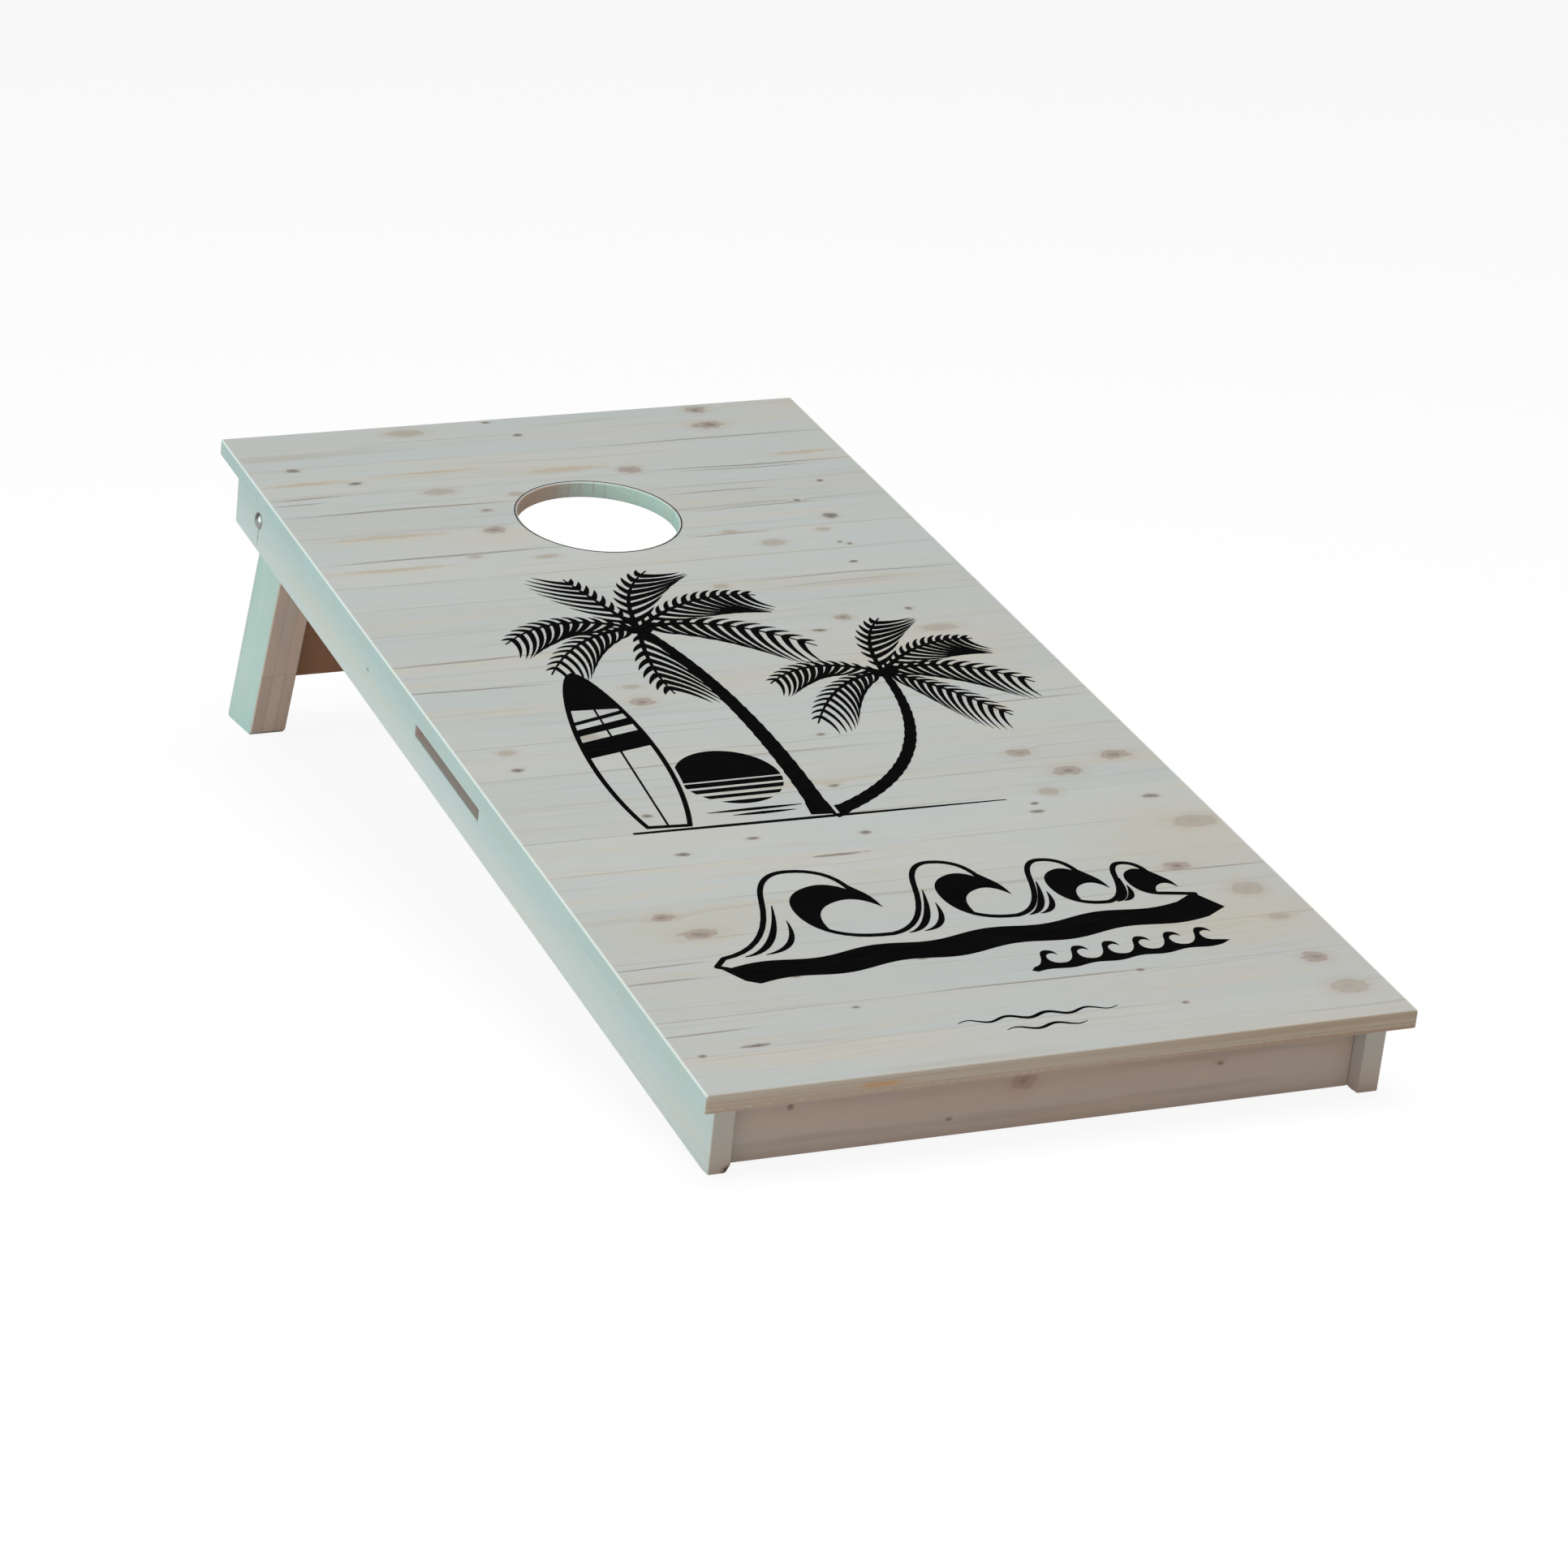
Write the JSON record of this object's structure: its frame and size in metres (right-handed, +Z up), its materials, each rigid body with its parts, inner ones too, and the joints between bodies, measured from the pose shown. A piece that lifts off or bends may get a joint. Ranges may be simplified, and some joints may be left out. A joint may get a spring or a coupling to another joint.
{
  "type": "cornhole board",
  "caption": "Tilted wooden target board with a round bag hole, on a box frame with hand slots and a folding pair of rear legs.",
  "frame": {"origin": "on the ground, in the middle of the board's width and of its overall length as it stands in use", "axes": "+Z up; +Y from the low front edge towards the high rear edge; +X across the board, to the right of a player who faces +Y"},
  "size_m": [0.6, 1.2646, 0.305],
  "materials": {
    "deck_spruce": "whitewashed edge-glued spruce, matte clear coat",
    "frame_spruce": "whitewashed spruce, matte clear coat",
    "leg_timber": "whitewashed finger-jointed laminated timber",
    "dowel_beech": "plain beech",
    "zinc_steel": "bright zinc plate",
    "nylon": "satin",
    "artwork_ink": "flat black printed ink"
  },
  "bodies": {
    "board": {"deck": "deck_spruce", "front_apron": "frame_spruce", "front_apron_dowel_left_lower": "dowel_beech", "front_apron_dowel_left_upper": "dowel_beech", "front_apron_dowel_right_lower": "dowel_beech", "front_apron_dowel_right_upper": "dowel_beech", "front_apron_pocket_screw_left": "zinc_steel", "front_apron_pocket_screw_right": "zinc_steel", "lock_nut_insert_left": "nylon", "lock_nut_insert_right": "nylon", "lock_nut_left": "zinc_steel", "lock_nut_right": "zinc_steel", "nut_washer_left": "zinc_steel", "nut_washer_right": "zinc_steel", "pivot_bolt_left": "zinc_steel", "pivot_bolt_right": "zinc_steel", "rear_apron": "frame_spruce", "rear_apron_dowel_left_lower": "dowel_beech", "rear_apron_dowel_left_upper": "dowel_beech", "rear_apron_dowel_right_lower": "dowel_beech", "rear_apron_dowel_right_upper": "dowel_beech", "side_rail_left": "frame_spruce", "side_rail_pocket_screw_left_1": "zinc_steel", "side_rail_pocket_screw_left_2": "zinc_steel", "side_rail_pocket_screw_left_3": "zinc_steel", "side_rail_pocket_screw_left_4": "zinc_steel", "side_rail_pocket_screw_right_1": "zinc_steel", "side_rail_pocket_screw_right_2": "zinc_steel", "side_rail_pocket_screw_right_3": "zinc_steel", "side_rail_pocket_screw_right_4": "zinc_steel", "side_rail_right": "frame_spruce", "spacer_washer_left": "zinc_steel", "spacer_washer_right": "zinc_steel"},
    "legs": {"leg_left": "leg_timber", "leg_right": "leg_timber", "leg_stretcher": "frame_spruce", "stretcher_dowel_left_lower": "dowel_beech", "stretcher_dowel_left_upper": "dowel_beech", "stretcher_dowel_right_lower": "dowel_beech", "stretcher_dowel_right_upper": "dowel_beech"}
  },
  "joints": [
    {"name": "leg_fold", "type": "hinge", "parent": "board", "child": "legs", "pos_m": [0, 0.47356, 0.24022], "axis": [-1, 0, 0], "range_deg": [0, 106]}
  ]
}
